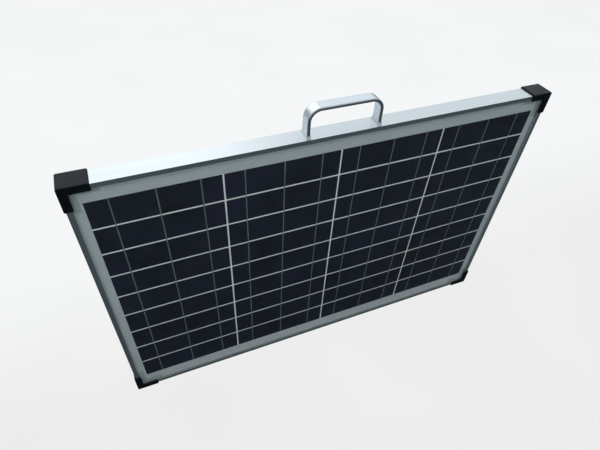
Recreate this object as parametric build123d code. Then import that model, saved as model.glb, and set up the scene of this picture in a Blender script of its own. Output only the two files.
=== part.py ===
from build123d import *
import os

# A framed solar panel made as a carry case: an aluminium frame round a glass laminate of 36 cells,
# black corner guards, a bow handle on the top rail, and a fold-out stand, junction box and charge
# controller kept inside the depth of the frame's back.
#
# Millimetres. +X runs along the long side, +Y runs from the glass front to the back, +Z is up.
# The origin is on the floor, under the middle of the case as it stands on its lower corner guards.

# ---- driving dimensions ----
FRAME_L = 670.0            # frame, outside, along X
FRAME_H = 437.0            # frame, outside, along Z
FRAME_T = 25.0             # frame depth, along Y
GUARD_T = 2.0              # how far a corner guard stands proud of the frame

WALL = 1.5                 # rail extrusion wall
LIP = 6.2                  # rail lip over the glass
BOX_U = 11.0               # width of the rail's box section
FLANGE_U = 24.0            # width of the rail's back flange
GROOVE = (1.5, 7.0)        # laminate groove, as depths from the front
MITRE_REACH = 30.0         # how far the mitre cut runs inward, past the flange

GLASS_T = 3.2
EVA_T = 0.4
CELL_T = 0.2
BACKSHEET_T = 0.3
LAMINATE_FRONT = 2.0       # depth of the glass front behind the frame front
LAMINATE_INSET = 3.0       # laminate edge inside the frame's outer face

CELL_W = 156.75            # a full wafer
CELL_H = 40.3              # a strip cut from the wafer
COLUMN_GAP = 2.25
ROW_GAP = 2.4
COLUMNS = 4
ROWS = 9
RIBBONS = 3                # tabbing ribbons on each column
RIBBON_W = 1.5
RIBBON_T = 0.1
RIBBON_END = 0.8           # how far a ribbon runs past the outer cells

GUARD_ARM = 34.0           # length of a guard's arm from its outer corner
GUARD_FLANGE = 10.4        # width of a guard's front and back flange
GUARD_CORNER_R = 2.2       # rounding of a guard's outer corner
GUARD_NOOK_R = 0.8         # rounding where a guard's two arms meet
GUARD_END_R = 1.8          # rounding at the free ends of the arms
GUARD_RIM_R = 1.3          # rounding round the front and back flange

HANDLE_HALF = 49.8         # handle leg centre, from the middle
HANDLE_RISE = 39.3         # top of the handle above the top rail
HANDLE_T = 4.6             # handle strip, thin way
HANDLE_W = 16.5            # handle strip, wide way
HANDLE_BEND = 15.5         # bend radius of the strip's middle line

BUS_STRIP_H = 10.0         # white strip over a bus ribbon
BUS_RIBBON_W = 5.0
BUS_RIBBON_T = 0.2
BUS_SHORTER = 40.0         # how much shorter a bus ribbon is than the field of cells
BUS_OUT = 9.0              # bus ribbon's middle beyond the outer cells
GLASS_EDGE = 0.3           # ground edge of the glass

MOUNT_X = 225.0            # mounting holes, from the middle
MOUNT_U = 17.5             # mounting holes, in from the frame's outer face
MOUNT_R = 3.5

LEG_X = 302.0              # middle of a stand leg
LEG_W = 12.0               # leg width along X
LEG_D = 14.0               # leg depth along Y
LEG_WALL = 1.5
LEG_DEPTH = 16.0           # depth of the leg's middle from the frame front
PIVOT_Z = 342.0
LEG_END_Z = 44.0           # lower cut end of a leg
PIVOT_R = 3.0
RUNNING = 0.05             # radial clearance of a turning fit
CROSS_BAR_Z = 60.0
CROSS_BAR_R = 6.0
CROSS_SCREW_R = 2.0

BOX_CENTRE_Z = 362.0       # junction box
BOX_SIZE = (104.0, 78.0)
BOX_DEPTHS = (7.3, 18.0, 18.8, 22.4)          # bottom, gasket, lid, top
UNIT_CENTRE_Z = 208.0      # charge controller
UNIT_SIZE = (140.0, 86.0)
UNIT_DEPTHS = (7.3, 17.0, 22.0)               # bottom, cover, top
TAPE_T = 0.8
GLAND_L = 13.0
LEAD_R = 3.0
LEAD_DEPTH = 14.0          # depth of the lead and the glands from the frame front
BUTTON_PITCH = 24.0
BUTTON_R = 4.7
BUTTON_TRAVEL = 1.0
WINDOW = (58.0, 26.0)
WINDOW_LIFT = 16.0         # window centre above the controller's middle
BUTTON_DROP = 22.0         # button row below the controller's middle

# ---- derived values ----
FLOOR_TO_FRAME = GUARD_T
FRAME_BOTTOM = FLOOR_TO_FRAME
FRAME_TOP = FRAME_BOTTOM + FRAME_H
MIDDLE_Z = (FRAME_BOTTOM + FRAME_TOP) / 2
HALF_L = FRAME_L / 2
FIELD_W = COLUMNS * CELL_W + (COLUMNS - 1) * COLUMN_GAP
FIELD_H = ROWS * CELL_H + (ROWS - 1) * ROW_GAP
LAMINATE_W = FRAME_L - 2 * LAMINATE_INSET
LAMINATE_H = FRAME_H - 2 * LAMINATE_INSET
GLASS_BACK = LAMINATE_FRONT + GLASS_T
CELL_FRONT = GLASS_BACK + EVA_T
CELL_BACK = CELL_FRONT + CELL_T
BACKSHEET_FRONT = CELL_BACK + EVA_T
BACKSHEET_BACK = BACKSHEET_FRONT + BACKSHEET_T


def y_at(depth):
    """Y of a depth measured from the frame's front."""
    return depth - FRAME_T / 2


def slab(x_range, depths, z_range):
    """A box between two X values, two depths and two Z values."""
    size = (x_range[1] - x_range[0], depths[1] - depths[0], z_range[1] - z_range[0])
    centre = (sum(x_range) / 2, y_at(sum(depths) / 2), sum(z_range) / 2)
    return Pos(*centre) * Box(*size)


def plate(width, height, depths, centre_z=MIDDLE_Z, centre_x=0.0):
    """A box given by its width and height about a centre."""
    return slab((centre_x - width / 2, centre_x + width / 2), depths,
                (centre_z - height / 2, centre_z + height / 2))


def rod_x(x_range, radius, depth, z):
    """A cylinder along X."""
    length = x_range[1] - x_range[0]
    return Pos(sum(x_range) / 2, y_at(depth), z) * Rot(0, 90, 0) * Cylinder(radius, length)


def rod_y(x, depths, radius, z):
    """A cylinder along Y."""
    length = depths[1] - depths[0]
    return Pos(x, y_at(sum(depths) / 2), z) * Rot(90, 0, 0) * Cylinder(radius, length)


def rod_z(x, depth, radius, z_range):
    """A cylinder along Z."""
    length = z_range[1] - z_range[0]
    return Pos(x, y_at(depth), sum(z_range) / 2) * Cylinder(radius, length)


def cone_y(x, depths, radii, z):
    """A cone along Y, with its first radius at its first depth."""
    length = depths[1] - depths[0]
    # Rot(90, 0, 0) turns +Z to -Y, so the cone's top is its first depth
    return Pos(x, y_at(sum(depths) / 2), z) * Rot(90, 0, 0) * Cone(radii[1], radii[0], length)


def prism_y(points, depths):
    """Extrude an outline of (x, z) points between two depths."""
    outline = [(x, y_at(depths[0]), z) for x, z in points]
    return extrude(make_face(Polyline(*outline, close=True)), depths[1] - depths[0], dir=(0, 1, 0))


def prism_x(points, x_range):
    """Extrude an outline of (depth, z) points between two X values."""
    outline = [(x_range[0], y_at(depth), z) for depth, z in points]
    return extrude(make_face(Polyline(*outline, close=True)), x_range[1] - x_range[0], dir=(1, 0, 0))


def edges_along(shape, axis):
    return shape.edges().filter_by(axis)


def one(*shapes):
    """Separate solids kept together as one node."""
    return Compound(children=[solid for shape in shapes for solid in shape.solids()])


def both_sides(shape):
    """A shape and its mirror image across the middle."""
    return one(shape, mirror(shape, about=Plane.YZ))


# ---- fasteners, placed first because they drill what they pass through ----
GUARD_SCREW_R = 1.5
GUARD_SCREW_REACH = 20.0   # screw centre from the frame's outer corner
GUARD_SCREW_U = 5.5        # screw centre in from the frame's outer face
GUARD_SCREW_DEPTH = 17.0
GUARD_HEAD_R = 3.0
GUARD_HEAD_SINK = 0.5      # the screw head's cone ends this far behind the frame
RIVET_R = 2.0
RIVET_HEAD_R = 3.6
RIVET_HEAD_T = 1.1
RIVET_TAIL_R = 2.9
RIVET_TAIL_T = 1.6
BACK_DRILL = (FRAME_T - 9.0, FRAME_T + 5.0)   # depths that a drill through the back flange crosses
BRACKET_RIVET_PITCH = 22.0
CLIP_X = 150.0
CLIP_W = 16.0
HANDLE_SCREW_R = 1.5
SCREW_BITE = 9.0           # how far the handle screws reach into the feet
HANDLE_WASHER_T = 0.8
HANDLE_HEAD_T = 2.6
HANDLE_HEAD_R = 3.6
HANDLE_WASHER_R = 3.9
HANDLE_SOCKET_R = 1.5      # across the corners
HANDLE_HOLE_GAP = 0.1
ACCESS_R = 4.8             # hole in the rail's inner wall for the handle screw's driver
DRIVE_R = 1.3


def guard_screw_places():
    """X and Z of the two screws in each of the four guards."""
    places = []
    for side in (-1, 1):
        for top in (False, True):
            edge = FRAME_TOP if top else FRAME_BOTTOM
            inward = -1 if top else 1
            places.append((side * (HALF_L - GUARD_SCREW_REACH), edge + inward * GUARD_SCREW_U))
            places.append((side * (HALF_L - GUARD_SCREW_U), edge + inward * GUARD_SCREW_REACH))
    return places


def guard_screw(x, z):
    seat = FRAME_T + GUARD_HEAD_SINK
    head = cone_y(x, (seat, FRAME_T + GUARD_T), (GUARD_SCREW_R, GUARD_HEAD_R), z)
    shank = rod_y(x, (GUARD_SCREW_DEPTH, seat), GUARD_SCREW_R, z)
    drive = rod_y(x, (FRAME_T + 1.0, FRAME_T + GUARD_T + 1.0), DRIVE_R, z)
    return head + shank - drive


def rivet_places():
    """X and Z of the bracket rivets and of the stand clip rivets."""
    bracket_x = HALF_L - MOUNT_U
    brackets = [(side * bracket_x, PIVOT_Z + up * BRACKET_RIVET_PITCH / 2)
                for side in (-1, 1) for up in (-1, 1)]
    clips = [(side * CLIP_X, FRAME_BOTTOM + MOUNT_U) for side in (-1, 1)]
    return brackets + clips


def rivet(x, z):
    inside = FRAME_T - 2 * WALL
    shank = rod_y(x, (inside - RIVET_TAIL_T + 1.0, FRAME_T), RIVET_R, z)
    head = rod_y(x, (FRAME_T, FRAME_T + RIVET_HEAD_T), RIVET_HEAD_R, z)
    head = fillet(head.edges().filter_by(GeomType.CIRCLE).sort_by(Axis.Y)[-1], RIVET_HEAD_T * 0.8)
    tail = rod_y(x, (inside - RIVET_TAIL_T, inside), RIVET_TAIL_R, z)
    return head + shank + tail


def drill_y(shape, places, radius):
    """Drill holes along Y right through a shape."""
    for x, z in places:
        shape = shape - rod_y(x, BACK_DRILL, radius, z)
    return shape


# ---- frame ----
def rail_section():
    """Outline of the rail as (distance in from the outer face, depth) points."""
    front, back = GROOVE
    return [(0, 0), (LIP, 0), (LIP, WALL), (WALL, WALL), (WALL, back), (BOX_U, back),
            (BOX_U, FRAME_T - WALL), (FLANGE_U, FRAME_T - WALL), (FLANGE_U, FRAME_T), (0, FRAME_T)]


def chamber_section(gap=0.0):
    """Outline of the closed chamber in the rail, or of what fits in it with a gap."""
    inner = (WALL + gap, BOX_U - WALL - gap)
    depths = (GROOVE[1] + WALL + gap, FRAME_T - WALL - gap)
    return [(inner[0], depths[0]), (inner[1], depths[0]), (inner[1], depths[1]), (inner[0], depths[1])]


def bar(section, length):
    """A bar along X whose outer face is at Z = 0 and whose section hangs below it."""
    outline = [(-length / 2, y_at(depth), -inward) for inward, depth in section]
    return extrude(make_face(Polyline(*outline, close=True)), length, dir=(1, 0, 0))


def plain_rail(length):
    """A mitred rail of a given outside length, lying along X with its outer face at Z = 0."""
    blank = bar(rail_section(), length) - bar(chamber_section(), length)
    half = length / 2
    mitre = [(-half, 0), (half, 0), (half - MITRE_REACH, -MITRE_REACH), (-half + MITRE_REACH, -MITRE_REACH)]
    return blank & prism_y(mitre, (-1.0, FRAME_T + 1.0))


SIDES = {
    "top": (FRAME_L, Pos(0, 0, FRAME_TOP)),
    "bottom": (FRAME_L, Pos(0, 0, FRAME_BOTTOM) * Rot(0, 180, 0)),
    "left": (FRAME_H, Pos(-HALF_L, 0, MIDDLE_Z) * Rot(0, -90, 0)),
    "right": (FRAME_H, Pos(HALF_L, 0, MIDDLE_Z) * Rot(0, 90, 0)),
}


def frame_rail(side):
    length, place = SIDES[side]
    rail = place * plain_rail(length)
    rail = drill_y(rail, guard_screw_places(), GUARD_SCREW_R + RUNNING)
    rail = drill_y(rail, rivet_places(), RIVET_R + RUNNING)
    holes = [(side_x * MOUNT_X, z) for side_x in (-1, 1)
             for z in (FRAME_BOTTOM + MOUNT_U, FRAME_TOP - MOUNT_U)]
    rail = drill_y(rail, holes, MOUNT_R)
    if side == "top":
        for x in (-HANDLE_HALF, HANDLE_HALF):
            outer_wall = (FRAME_TOP - 2 * WALL, FRAME_TOP + WALL)
            inner_wall = (FRAME_TOP - BOX_U - WALL, FRAME_TOP - BOX_U + 1.3 * WALL)
            rail = rail - rod_z(x, FRAME_T / 2, HANDLE_SCREW_R + HANDLE_HOLE_GAP, outer_wall)
            rail = rail - rod_z(x, FRAME_T / 2, ACCESS_R, inner_wall)
    return rail


KEY_ARM = 40.0
KEY_GAP = 0.1              # between a corner key and the rail's chamber
SEAL_GAP = 0.02


def corner_key(x_side, top):
    """An L key pressed into the chambers of two rails."""
    section = chamber_section(KEY_GAP)
    along_x = Pos(HALF_L - KEY_ARM / 2, 0, FRAME_TOP) * bar(section, KEY_ARM)
    along_z = Pos(HALF_L, 0, FRAME_TOP - KEY_ARM / 2) * Rot(0, 90, 0) * bar(section, KEY_ARM)
    skin = WALL + KEY_GAP
    corner = slab((HALF_L - skin, HALF_L + 1), (0, FRAME_T), (FRAME_TOP - KEY_ARM, FRAME_TOP + 1))
    corner = corner + slab((HALF_L - KEY_ARM, HALF_L + 1), (0, FRAME_T), (FRAME_TOP - skin, FRAME_TOP + 1))
    key = along_x + along_z - corner
    if not top:
        key = mirror(key, about=Plane.XY.offset(MIDDLE_Z))
    if x_side < 0:
        key = mirror(key, about=Plane.YZ)
    return drill_y(key, guard_screw_places(), GUARD_SCREW_R + RUNNING)


def edge_seal():
    """A U of sealant round the laminate's edge, filling the groove."""
    front, back = GROOVE
    inset = WALL + SEAL_GAP
    outer = plate(FRAME_L - 2 * inset, FRAME_H - 2 * inset, (front + SEAL_GAP, back - SEAL_GAP))
    window = plate(FRAME_L - 2 * (LIP - 1), FRAME_H - 2 * (LIP - 1), (front - 1, back + 1))
    pocket = plate(LAMINATE_W, LAMINATE_H, (LAMINATE_FRONT, BACKSHEET_BACK))
    return outer - window - pocket


# ---- laminate ----
def column_x(column):
    return (column - (COLUMNS - 1) / 2) * (CELL_W + COLUMN_GAP)


def row_z(row):
    """Centre of a row of cells, counted down from the top."""
    return MIDDLE_Z + ((ROWS - 1) / 2 - row) * (CELL_H + ROW_GAP)


def cell_string(column):
    cells = [plate(CELL_W, CELL_H, (CELL_FRONT, CELL_BACK), row_z(row), column_x(column))
             for row in range(ROWS)]
    return one(*cells)


def tabbing_ribbons():
    strips = []
    for column in range(COLUMNS):
        for ribbon in range(RIBBONS):
            x = column_x(column) + CELL_W * ((ribbon + 0.5) / RIBBONS - 0.5)
            length = FIELD_H + 2 * RIBBON_END
            strips.append(plate(RIBBON_W, length, (CELL_FRONT - RIBBON_T, CELL_FRONT), MIDDLE_Z, x))
    return one(*strips)


def bus_places():
    """Z of the middle of the two bus ribbons."""
    return [MIDDLE_Z + side * (FIELD_H / 2 + BUS_OUT) for side in (-1, 1)]


def insulation_strips():
    """White strips that cover the bus ribbons above and below the cells."""
    return one(*[plate(FIELD_W, BUS_STRIP_H, (CELL_FRONT, CELL_BACK), z) for z in bus_places()])


def bus_ribbons():
    depths = (CELL_BACK, CELL_BACK + BUS_RIBBON_T)
    return one(*[plate(FIELD_W - BUS_SHORTER, BUS_RIBBON_W, depths, z) for z in bus_places()])


def cover_glass():
    glass = plate(LAMINATE_W, LAMINATE_H, (LAMINATE_FRONT, GLASS_BACK))
    return chamfer(glass.edges(), GLASS_EDGE)


# ---- corner guards ----
def corner_guard(x_side, top):
    """A moulded guard that wraps the frame's front, back and both outer faces at a corner."""
    outer_x = HALF_L + GUARD_T
    outer_z = FRAME_TOP + GUARD_T
    outline = [(outer_x, outer_z), (outer_x - GUARD_ARM, outer_z),
               (outer_x - GUARD_ARM, outer_z - GUARD_FLANGE),
               (outer_x - GUARD_FLANGE, outer_z - GUARD_FLANGE),
               (outer_x - GUARD_FLANGE, outer_z - GUARD_ARM), (outer_x, outer_z - GUARD_ARM)]
    block = prism_y(outline, (-GUARD_T, FRAME_T + GUARD_T))
    upright = edges_along(block, Axis.Y)
    corner_edge = upright.sort_by_distance((outer_x, 0, outer_z))[0]
    block = fillet(corner_edge, GUARD_CORNER_R)
    upright = edges_along(block, Axis.Y)
    nook = upright.sort_by_distance((outer_x - GUARD_FLANGE, 0, outer_z - GUARD_FLANGE))[0]
    block = fillet(nook, GUARD_NOOK_R)
    ends = edges_along(block, Axis.Y).filter_by(lambda e: _is_arm_end(e, outer_x, outer_z))
    block = fillet(ends, GUARD_END_R)
    rim = [e for e in block.edges() if abs(abs(e.center().Y) - (FRAME_T / 2 + GUARD_T)) < 0.01]
    block = fillet(rim, GUARD_RIM_R)
    frame_box = slab((0, HALF_L), (0, FRAME_T), (MIDDLE_Z, FRAME_TOP))
    guard = block - frame_box
    for x, z in guard_screw_places():
        radii = (GUARD_SCREW_R + RUNNING, GUARD_HEAD_R + RUNNING)
        head = cone_y(x, (FRAME_T + GUARD_HEAD_SINK, FRAME_T + GUARD_T), radii, z)
        guard = guard - head - rod_y(x, (FRAME_T - 1, FRAME_T + 1), GUARD_SCREW_R + RUNNING, z)
    if not top:
        guard = mirror(guard, about=Plane.XY.offset(MIDDLE_Z))
    if x_side < 0:
        guard = mirror(guard, about=Plane.YZ)
    return guard


def _is_arm_end(edge, outer_x, outer_z):
    """True for the four upright edges at the free ends of a guard's two arms."""
    middle = edge.center()
    at_x_end = abs(middle.X - (outer_x - GUARD_ARM)) < 0.01
    at_z_end = abs(middle.Z - (outer_z - GUARD_ARM)) < 0.01
    return at_x_end or at_z_end


# ---- carry handle ----
HANDLE_ROUND = 1.3         # rounding of the strip's long edges
FOOT_FLARE_H = 11.0        # height over which a leg flares into its foot
FOOT_T = 6.0               # foot, along X
FOOT_W = 21.0              # foot, along Y


def carry_handle():
    """A bow of flat strip with large bends and legs that flare onto the rail."""
    top_line = FRAME_TOP + HANDLE_RISE - HANDLE_T / 2
    start = FRAME_TOP + FOOT_FLARE_H
    path = FilletPolyline((-HANDLE_HALF, 0, start), (-HANDLE_HALF, 0, top_line),
                          (HANDLE_HALF, 0, top_line), (HANDLE_HALF, 0, start), radius=HANDLE_BEND)
    strip_plane = Plane(origin=(-HANDLE_HALF, 0, start), x_dir=(1, 0, 0), z_dir=(0, 0, 1))
    handle = sweep(strip_plane * RectangleRounded(HANDLE_T, HANDLE_W, HANDLE_ROUND), path=path)
    for side in (-1, 1):
        x = side * HANDLE_HALF
        sections = []
        for step in (1.0, 0.6, 0.3, 0.1, 0.0):
            widen = (1.0 - step) ** 3
            size = (HANDLE_T + (FOOT_T - HANDLE_T) * widen, HANDLE_W + (FOOT_W - HANDLE_W) * widen)
            plane = Plane(origin=(x, 0, FRAME_TOP + FOOT_FLARE_H * step))
            sections.append(plane * RectangleRounded(*size, HANDLE_ROUND))
        handle = handle + loft(sections)
        handle = handle - rod_z(x, FRAME_T / 2, HANDLE_SCREW_R, (FRAME_TOP - 1, FRAME_TOP + SCREW_BITE))
    return handle


def handle_screw(x):
    under = FRAME_TOP - WALL - HANDLE_WASHER_T
    shank = rod_z(x, FRAME_T / 2, HANDLE_SCREW_R, (under, FRAME_TOP + SCREW_BITE - 0.5))
    head = rod_z(x, FRAME_T / 2, HANDLE_HEAD_R, (under - HANDLE_HEAD_T, under))
    hexagon = extrude(RegularPolygon(HANDLE_SOCKET_R, 6), 1.4, both=True)
    socket = Pos(x, 0, under - HANDLE_HEAD_T + 0.6) * hexagon
    return head + shank - socket


def handle_washer(x):
    z_range = (FRAME_TOP - WALL - HANDLE_WASHER_T, FRAME_TOP - WALL)
    disc = rod_z(x, FRAME_T / 2, HANDLE_WASHER_R, z_range)
    return disc - rod_z(x, FRAME_T / 2, HANDLE_SCREW_R + RUNNING, (z_range[0] - 1, z_range[1] + 1))


# ---- junction box ----
def rounded_block(width, height, depths, centre_z, corner, centre_x=0.0):
    block = plate(width, height, depths, centre_z, centre_x)
    return fillet(edges_along(block, Axis.Y), corner)


PAD_INSET = 4.0            # adhesive pad's edge inside the housing's
PAD_CORNER = 5.0


def adhesive_pads():
    pads = []
    depths = (BACKSHEET_BACK, BACKSHEET_BACK + TAPE_T)
    for size, z in ((BOX_SIZE, BOX_CENTRE_Z), (UNIT_SIZE, UNIT_CENTRE_Z)):
        pads.append(rounded_block(size[0] - 2 * PAD_INSET, size[1] - 2 * PAD_INSET, depths, z, PAD_CORNER))
    return one(*pads)


GLAND_R = 6.5
GLAND_NUT_R = 7.5          # across the corners
GLAND_NUT = (1.0, 6.5)     # the nut's two faces, from the housing


def gland(z_from, direction):
    """A cable gland on a housing's face that looks up (1) or down (-1), with its nut and bore."""
    low, high = sorted((z_from, z_from + direction * GLAND_L))
    collar = rod_z(0, LEAD_DEPTH, GLAND_R, (low, high))
    hex_low, hex_high = sorted(z_from + direction * face for face in GLAND_NUT)
    nut_plane = Plane(origin=(0, y_at(LEAD_DEPTH), hex_low))
    nut = extrude(nut_plane * RegularPolygon(GLAND_NUT_R, 6, major_radius=True), hex_high - hex_low)
    bore = rod_z(0, LEAD_DEPTH, LEAD_R + RUNNING, (low - 4, high + 4))
    return collar + nut - bore


BOX_SCREW_IN = 8.0         # lid screws, in from the box's sides
BOX_SCREW_R = 1.5
BOX_HEAD_R = 3.0
BOX_SINK = 2.0             # depth of the lid's counterbores
BOX_SINK_R = 3.4
BOX_POST_R = 4.0
BOX_WALL = 2.5
BOX_FLOOR = 2.0
BOX_CORNER = 7.0           # rounding of the box's upright corners
BOX_CORNER_IN = 5.0        # the same, inside


def box_screw_places():
    return [(sx * (BOX_SIZE[0] / 2 - BOX_SCREW_IN), BOX_CENTRE_Z + sz * (BOX_SIZE[1] / 2 - BOX_SCREW_IN))
            for sx in (-1, 1) for sz in (-1, 1)]


def box_inside(depths):
    """The room inside the junction box's walls, between two depths."""
    width, height = (side - 2 * BOX_WALL for side in BOX_SIZE)
    return rounded_block(width, height, depths, BOX_CENTRE_Z, BOX_CORNER_IN)


def junction_box_base():
    bottom, gasket_at = BOX_DEPTHS[:2]
    shell = rounded_block(*BOX_SIZE, (bottom, gasket_at), BOX_CENTRE_Z, BOX_CORNER)
    shell = shell - box_inside((bottom + BOX_FLOOR, gasket_at + 1))
    for x, z in box_screw_places():
        shell = shell + rod_y(x, (bottom + BOX_FLOOR / 2, gasket_at), BOX_POST_R, z)
        shell = shell - rod_y(x, (gasket_at - 7.0, gasket_at + 1), BOX_SCREW_R + RUNNING, z)
    low = BOX_CENTRE_Z - BOX_SIZE[1] / 2
    return shell - rod_z(0, LEAD_DEPTH, LEAD_R + RUNNING, (low - 1, low + 4))


def junction_gasket():
    front, back = BOX_DEPTHS[1:3]
    ring = rounded_block(BOX_SIZE[0] - 1, BOX_SIZE[1] - 1, (front, back), BOX_CENTRE_Z, BOX_CORNER - 0.5)
    ring = ring - box_inside((front - 1, back + 1))
    for x, z in box_screw_places():
        ring = ring - rod_y(x, (front - 1, back + 1), BOX_POST_R + 0.1, z)
    return ring


LID_RIM = (15.0, 13.0)     # rim round the lid's sunk panel, at its sides and ends
LID_SUNK = 0.6
LID_ROUND = 1.6
LID_PANEL_CORNER = 4.0


def junction_lid():
    bottom, top = BOX_DEPTHS[2:]
    lid = rounded_block(*BOX_SIZE, (bottom, top), BOX_CENTRE_Z, BOX_CORNER)
    lid = fillet(lid.faces().sort_by(Axis.Y)[-1].edges(), LID_ROUND)
    width, height = (side - 2 * rim for side, rim in zip(BOX_SIZE, LID_RIM))
    lid = lid - rounded_block(width, height, (top - LID_SUNK, top + 1), BOX_CENTRE_Z, LID_PANEL_CORNER)
    for x, z in box_screw_places():
        lid = lid - rod_y(x, (bottom - 1, top + 1), BOX_SCREW_R + RUNNING, z)
        lid = lid - rod_y(x, (top - BOX_SINK, top + 1), BOX_SINK_R, z)
    return lid


def cross_slot(x, z, depths, length, width):
    """The two crossed bars that are cut from a screw head."""
    return plate(width, length, depths, z, x) + plate(length, width, depths, z, x)


def junction_screws():
    screws = []
    seat = BOX_DEPTHS[3] - BOX_SINK
    for x, z in box_screw_places():
        shank = rod_y(x, (BOX_DEPTHS[1] - 6.0, seat), BOX_SCREW_R, z)
        head = rod_y(x, (seat, seat + 1.6), BOX_HEAD_R, z)
        screws.append(shank + head - cross_slot(x, z, (seat + 0.8, seat + 3), 4.0, 1.1))
    return one(*screws)


TERMINALS = 3
TERMINAL_PITCH = 26.0
TERMINAL_W = 10.0
TERMINAL_RAIL_H = 34.0
CLAMP_H = 9.0
CLAMP_UP = 8.0             # clamps above the box's middle
DIODE_L = 9.0
DIODE_R = 2.2
DIODE_LEAD_R = 0.6


def junction_terminals():
    blocks = []
    floor = BOX_DEPTHS[0] + BOX_FLOOR
    for place in range(TERMINALS):
        x = (place - (TERMINALS - 1) / 2) * TERMINAL_PITCH
        rail = plate(TERMINAL_W, TERMINAL_RAIL_H, (floor, floor + 2.0), BOX_CENTRE_Z - 2, x)
        clamp_z = BOX_CENTRE_Z + CLAMP_UP
        clamp = rounded_block(TERMINAL_W, CLAMP_H, (floor + 2.0, floor + 6.0), clamp_z, 1.0, x)
        blocks.append(rail + clamp)
    return one(*blocks)


def bypass_diodes():
    """Diodes whose leads run from clamp to clamp."""
    diodes = []
    depth = BOX_DEPTHS[0] + BOX_FLOOR + 4.0
    reach = (TERMINAL_PITCH - TERMINAL_W) / 2
    for place in (-1, 1):
        x = place * TERMINAL_PITCH / 2
        body = rod_x((x - DIODE_L / 2, x + DIODE_L / 2), DIODE_R, depth, BOX_CENTRE_Z + CLAMP_UP)
        diodes.append(body + rod_x((x - reach, x + reach), DIODE_LEAD_R, depth, BOX_CENTRE_Z + CLAMP_UP))
    return one(*diodes)


# ---- charge controller ----
BUTTON_Z = UNIT_CENTRE_Z - BUTTON_DROP
WINDOW_Z = UNIT_CENTRE_Z + WINDOW_LIFT
UNIT_WALL = 2.2
UNIT_FLOOR = 2.0
UNIT_CORNER = 6.0
UNIT_CORNER_IN = 4.0
UNIT_ROUND = 1.8           # rounding round the cover's top
UNIT_SCREW_IN = 7.0        # cover screws, in from the sides
UNIT_SCREW_R = 1.4
UNIT_HEAD_R = 2.6
UNIT_SINK = 1.8
UNIT_SINK_R = 2.9
UNIT_POST_R = 3.6
WINDOW_T = 1.0
BOARD = (13.6, 15.2)       # front and back of the circuit board
BOARD_INSET = 5.0
BOARD_NOTCH = (16.0, 12.0)
TERMINAL_BLOCK = (7.6, 11.0)
TERMINAL_BLOCK_T = 4.0
TERMINAL_BLOCK_DROP = 20.0
TERMINAL_BLOCK_X = (24.0, 34.0, 44.0)


def unit_screw_places():
    return [(sx * (UNIT_SIZE[0] / 2 - UNIT_SCREW_IN), UNIT_CENTRE_Z + sz * (UNIT_SIZE[1] / 2 - UNIT_SCREW_IN))
            for sx in (-1, 1) for sz in (-1, 1)]


def button_places():
    """X of the three buttons."""
    return {"left": -BUTTON_PITCH, "middle": 0.0, "right": BUTTON_PITCH}


def unit_inside(depths):
    """The room inside the controller's walls, between two depths."""
    width, height = (side - 2 * UNIT_WALL for side in UNIT_SIZE)
    return rounded_block(width, height, depths, UNIT_CENTRE_Z, UNIT_CORNER_IN)


def controller_case():
    bottom, split = UNIT_DEPTHS[:2]
    shell = rounded_block(*UNIT_SIZE, (bottom, split), UNIT_CENTRE_Z, UNIT_CORNER)
    shell = shell - unit_inside((bottom + UNIT_FLOOR, split + 1))
    for x, z in unit_screw_places():
        shell = shell + rod_y(x, (bottom + UNIT_FLOOR / 2, split), UNIT_POST_R, z)
        shell = shell - rod_y(x, (split - 7.0, split + 1), UNIT_SCREW_R + RUNNING, z)
    reach = UNIT_SIZE[1] / 2 + 1
    bore = rod_z(0, LEAD_DEPTH, LEAD_R + RUNNING, (UNIT_CENTRE_Z - reach, UNIT_CENTRE_Z + reach))
    return shell - bore


def controller_cover():
    split, top = UNIT_DEPTHS[1:]
    cover = rounded_block(*UNIT_SIZE, (split, top), UNIT_CENTRE_Z, UNIT_CORNER)
    cover = fillet(cover.faces().sort_by(Axis.Y)[-1].edges(), UNIT_ROUND)
    cover = cover - unit_inside((split - 1, top - UNIT_WALL))
    for x, z in unit_screw_places():
        cover = cover + rod_y(x, (split, top - 1.0), UNIT_POST_R, z)
        cover = cover - rod_y(x, (split - 1, top + 1), UNIT_SCREW_R + RUNNING, z)
        cover = cover - rod_y(x, (top - UNIT_SINK, top + 1), UNIT_SINK_R, z)
    cover = cover - rounded_block(WINDOW[0] - 3, WINDOW[1] - 3, (split, top + 1), WINDOW_Z, 1.5)
    cover = cover - rounded_block(WINDOW[0] + 0.2, WINDOW[1] + 0.2, (top - WINDOW_T, top + 1), WINDOW_Z, 2.5)
    for x in button_places().values():
        cover = cover - rod_y(x, (split, top + 1), BUTTON_R + 0.35, BUTTON_Z)
    return cover


def controller_window():
    top = UNIT_DEPTHS[2]
    return rounded_block(*WINDOW, (top - WINDOW_T, top - 0.1), WINDOW_Z, 2.4)


def controller_display():
    back = UNIT_DEPTHS[2] - UNIT_WALL
    return rounded_block(WINDOW[0] - 3, WINDOW[1] - 2, (back - 2.6, back), WINDOW_Z, 0.8)


def controller_board():
    width, height = (side - 2 * BOARD_INSET for side in UNIT_SIZE)
    board = plate(width, height, BOARD, UNIT_CENTRE_Z)
    through = (BOARD[0] - 1, BOARD[1] + 1)
    for x, z in unit_screw_places():
        board = board - rod_y(x, through, UNIT_POST_R + 1.4, z)
    for side in (-1, 1):
        board = board - plate(*BOARD_NOTCH, through, UNIT_CENTRE_Z + side * (height / 2 - 1))
    for x in button_places().values():
        board = board + rounded_block(6.0, 6.0, (BOARD[1], BOARD[1] + 1.6), BUTTON_Z, 0.6, x)
    return board


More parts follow.
